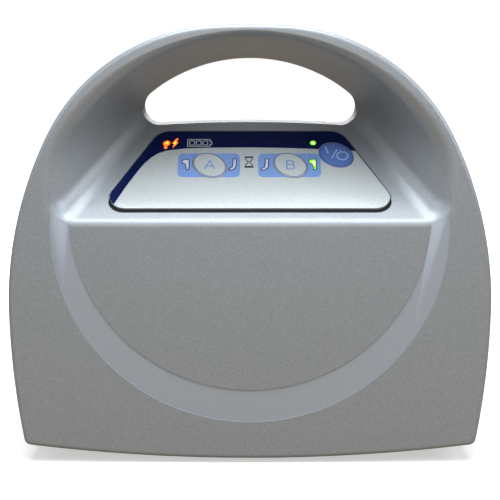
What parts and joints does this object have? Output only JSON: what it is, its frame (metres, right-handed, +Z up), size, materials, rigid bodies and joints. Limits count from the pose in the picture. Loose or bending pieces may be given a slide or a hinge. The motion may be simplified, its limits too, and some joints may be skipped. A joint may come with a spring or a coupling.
{
  "type": "compression therapy pump",
  "caption": "Bedside air pump with a D-shaped housing, hand opening, scooped label panel with oval keys, rear air ports, mains inlet and folding bed hook.",
  "frame": {"origin": "on the table under the middle of the bounding box", "axes": "+Z up, the front face with its label faces -Y, the bed hook is at +Y, +X is to the right seen from the front"},
  "size_m": [0.1968, 0.112, 0.18],
  "materials": {
    "front_shell": "satin, fine metallic spark",
    "rear_shell": "matt, finely spark-eroded",
    "label_film": "satin film, printed on its back",
    "power_key_film": "satin film",
    "clear_plastic": "frosted clear",
    "zinc_steel": "zinc plated",
    "magnet_steel": "ground",
    "dark_rubber": "matt",
    "filter_foam": "open foam",
    "black_plastic": "moulded",
    "natural_plastic": "moulded",
    "hose_silicone": "translucent",
    "cast_casing": "die cast",
    "copper_winding": "enamelled wire",
    "circuit_board": "solder mask",
    "battery_wrap": "shrink wrap",
    "wire_sheath": "satin",
    "ribbon": "satin"
  },
  "bodies": {
    "pump": {"front_cover": "front_shell", "rear_housing": "rear_shell", "housing_screws": "zinc_steel", "rubber_feet": "dark_rubber", "overlay_label": "label_film", "light_guides": "clear_plastic", "key_board": "circuit_board", "key_board_screws": "zinc_steel", "hook_pin": "zinc_steel", "hook_springs": "zinc_steel", "tubing_port_a": "rear_shell", "tubing_port_b": "rear_shell", "port_block": "natural_plastic", "port_hoses": "hose_silicone", "power_inlet": "black_plastic", "inlet_screws": "zinc_steel", "intake_cover": "rear_shell", "intake_filter": "filter_foam", "battery_door": "rear_shell", "door_screws": "zinc_steel", "battery_pack": "battery_wrap", "battery_lead": "wire_sheath", "chassis": "zinc_steel", "chassis_screws": "zinc_steel", "compressor_casing": "cast_casing", "drive_coil": "copper_winding", "diaphragms": "dark_rubber", "pump_head_left": "natural_plastic", "pump_head_right": "natural_plastic", "isolators": "dark_rubber", "bridge_hose": "hose_silicone", "pump_hose": "hose_silicone", "silencer": "black_plastic", "manifold_hose": "hose_silicone", "valve_manifold": "natural_plastic", "manifold_screws": "zinc_steel", "pressure_sensor": "black_plastic", "valve_coil_1": "black_plastic", "valve_coil_2": "black_plastic", "valve_coil_3": "black_plastic", "valve_coil_4": "black_plastic", "valve_coil_5": "black_plastic", "control_board": "circuit_board", "power_board": "circuit_board", "transformer": "copper_winding", "board_screws": "zinc_steel", "alarm_buzzer": "black_plastic", "ribbon_cable": "ribbon", "mains_lead": "wire_sheath"},
    "hook": {"bed_hook": "rear_shell", "hook_pads": "dark_rubber"},
    "leg_key_a": {"key_a": "label_film"},
    "leg_key_b": {"key_b": "label_film"},
    "switch_key": {"key_power": "power_key_film"},
    "motor_armature": {"armature": "magnet_steel"},
    "plunger_1": {"valve_plunger_1": "zinc_steel"},
    "plunger_2": {"valve_plunger_2": "zinc_steel"},
    "plunger_3": {"valve_plunger_3": "zinc_steel"},
    "plunger_4": {"valve_plunger_4": "zinc_steel"},
    "plunger_5": {"valve_plunger_5": "zinc_steel"}
  },
  "joints": [
    {"name": "leg_key_a_press", "type": "slide", "parent": "pump", "child": "leg_key_a", "axis": [0, 0.6318, -0.7752], "range_m": [0, 0.0006], "stiffness_N_per_m": 2000, "springref_m": -0.0005},
    {"name": "leg_key_b_press", "type": "slide", "parent": "pump", "child": "leg_key_b", "axis": [0, 0.6318, -0.7752], "range_m": [0, 0.0006], "stiffness_N_per_m": 2000, "springref_m": -0.0005},
    {"name": "switch_key_press", "type": "slide", "parent": "pump", "child": "switch_key", "axis": [0, 0.6318, -0.7752], "range_m": [0, 0.0006], "stiffness_N_per_m": 2000, "springref_m": -0.0005},
    {"name": "hook_swing", "type": "hinge", "parent": "pump", "child": "hook", "pos_m": [0, 0.0458, 0.092], "axis": [1, 0, 0], "range_deg": [0, 60], "stiffness_Nm_per_rad": 0.5, "springref_deg": -5.73},
    {"name": "armature_stroke", "type": "slide", "parent": "pump", "child": "motor_armature", "axis": [1, 0, 0], "range_m": [-0.0015, 0.0015], "stiffness_N_per_m": 2000},
    {"name": "plunger_lift_1", "type": "slide", "parent": "pump", "child": "plunger_1", "axis": [0, 0, 1], "range_m": [0, 0.0012], "stiffness_N_per_m": 300, "springref_m": -0.001},
    {"name": "plunger_lift_2", "type": "slide", "parent": "pump", "child": "plunger_2", "axis": [0, 0, 1], "range_m": [0, 0.0012], "stiffness_N_per_m": 300, "springref_m": -0.001},
    {"name": "plunger_lift_3", "type": "slide", "parent": "pump", "child": "plunger_3", "axis": [0, 0, 1], "range_m": [0, 0.0012], "stiffness_N_per_m": 300, "springref_m": -0.001},
    {"name": "plunger_lift_4", "type": "slide", "parent": "pump", "child": "plunger_4", "axis": [0, 0, 1], "range_m": [0, 0.0012], "stiffness_N_per_m": 300, "springref_m": -0.001},
    {"name": "plunger_lift_5", "type": "slide", "parent": "pump", "child": "plunger_5", "axis": [0, 0, 1], "range_m": [0, 0.0012], "stiffness_N_per_m": 300, "springref_m": -0.001}
  ]
}
